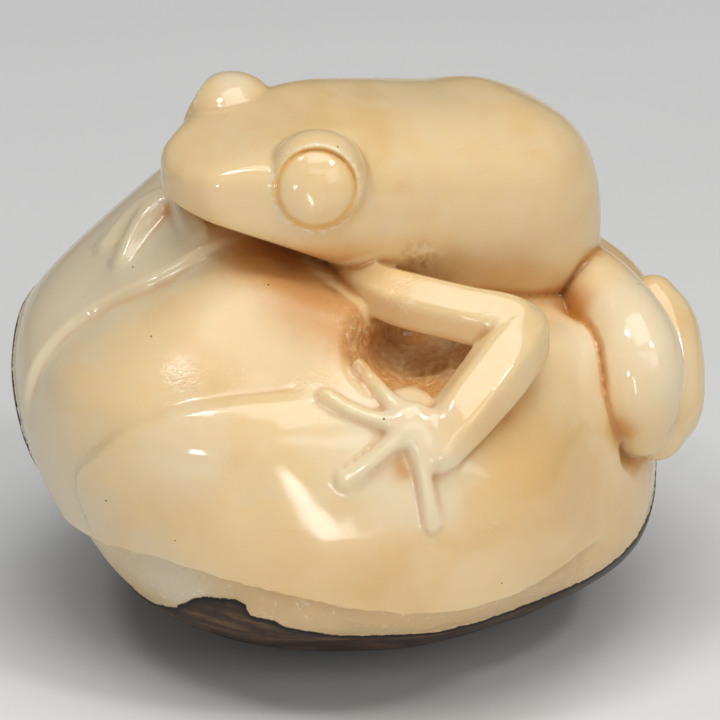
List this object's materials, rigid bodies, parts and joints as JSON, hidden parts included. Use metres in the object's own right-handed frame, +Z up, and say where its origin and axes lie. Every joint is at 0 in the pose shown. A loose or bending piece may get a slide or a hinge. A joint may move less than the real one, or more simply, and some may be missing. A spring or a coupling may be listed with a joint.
{
  "type": "carved animal figurine",
  "caption": "Small polished carving of a frog hunched on a rounded, lobed nut, its slender hands laid on it; stands on a small flat foot.",
  "frame": {"origin": "middle of the small flat foot that it stands on", "axes": "+X to the viewer's right along the longest side, -Y towards the viewer, whom the near hand faces, +Z up; the frog's head points towards -X and a little towards the viewer"},
  "size_m": [0.0524, 0.0469, 0.0429],
  "materials": {
    "tagua": "polished tagua seed: warm cream, slightly translucent, with brown stain in its hollows and dark seed skin left underneath"
  },
  "bodies": {
    "root": {"tagua_frog_carving": "tagua"}
  },
  "joints": []
}
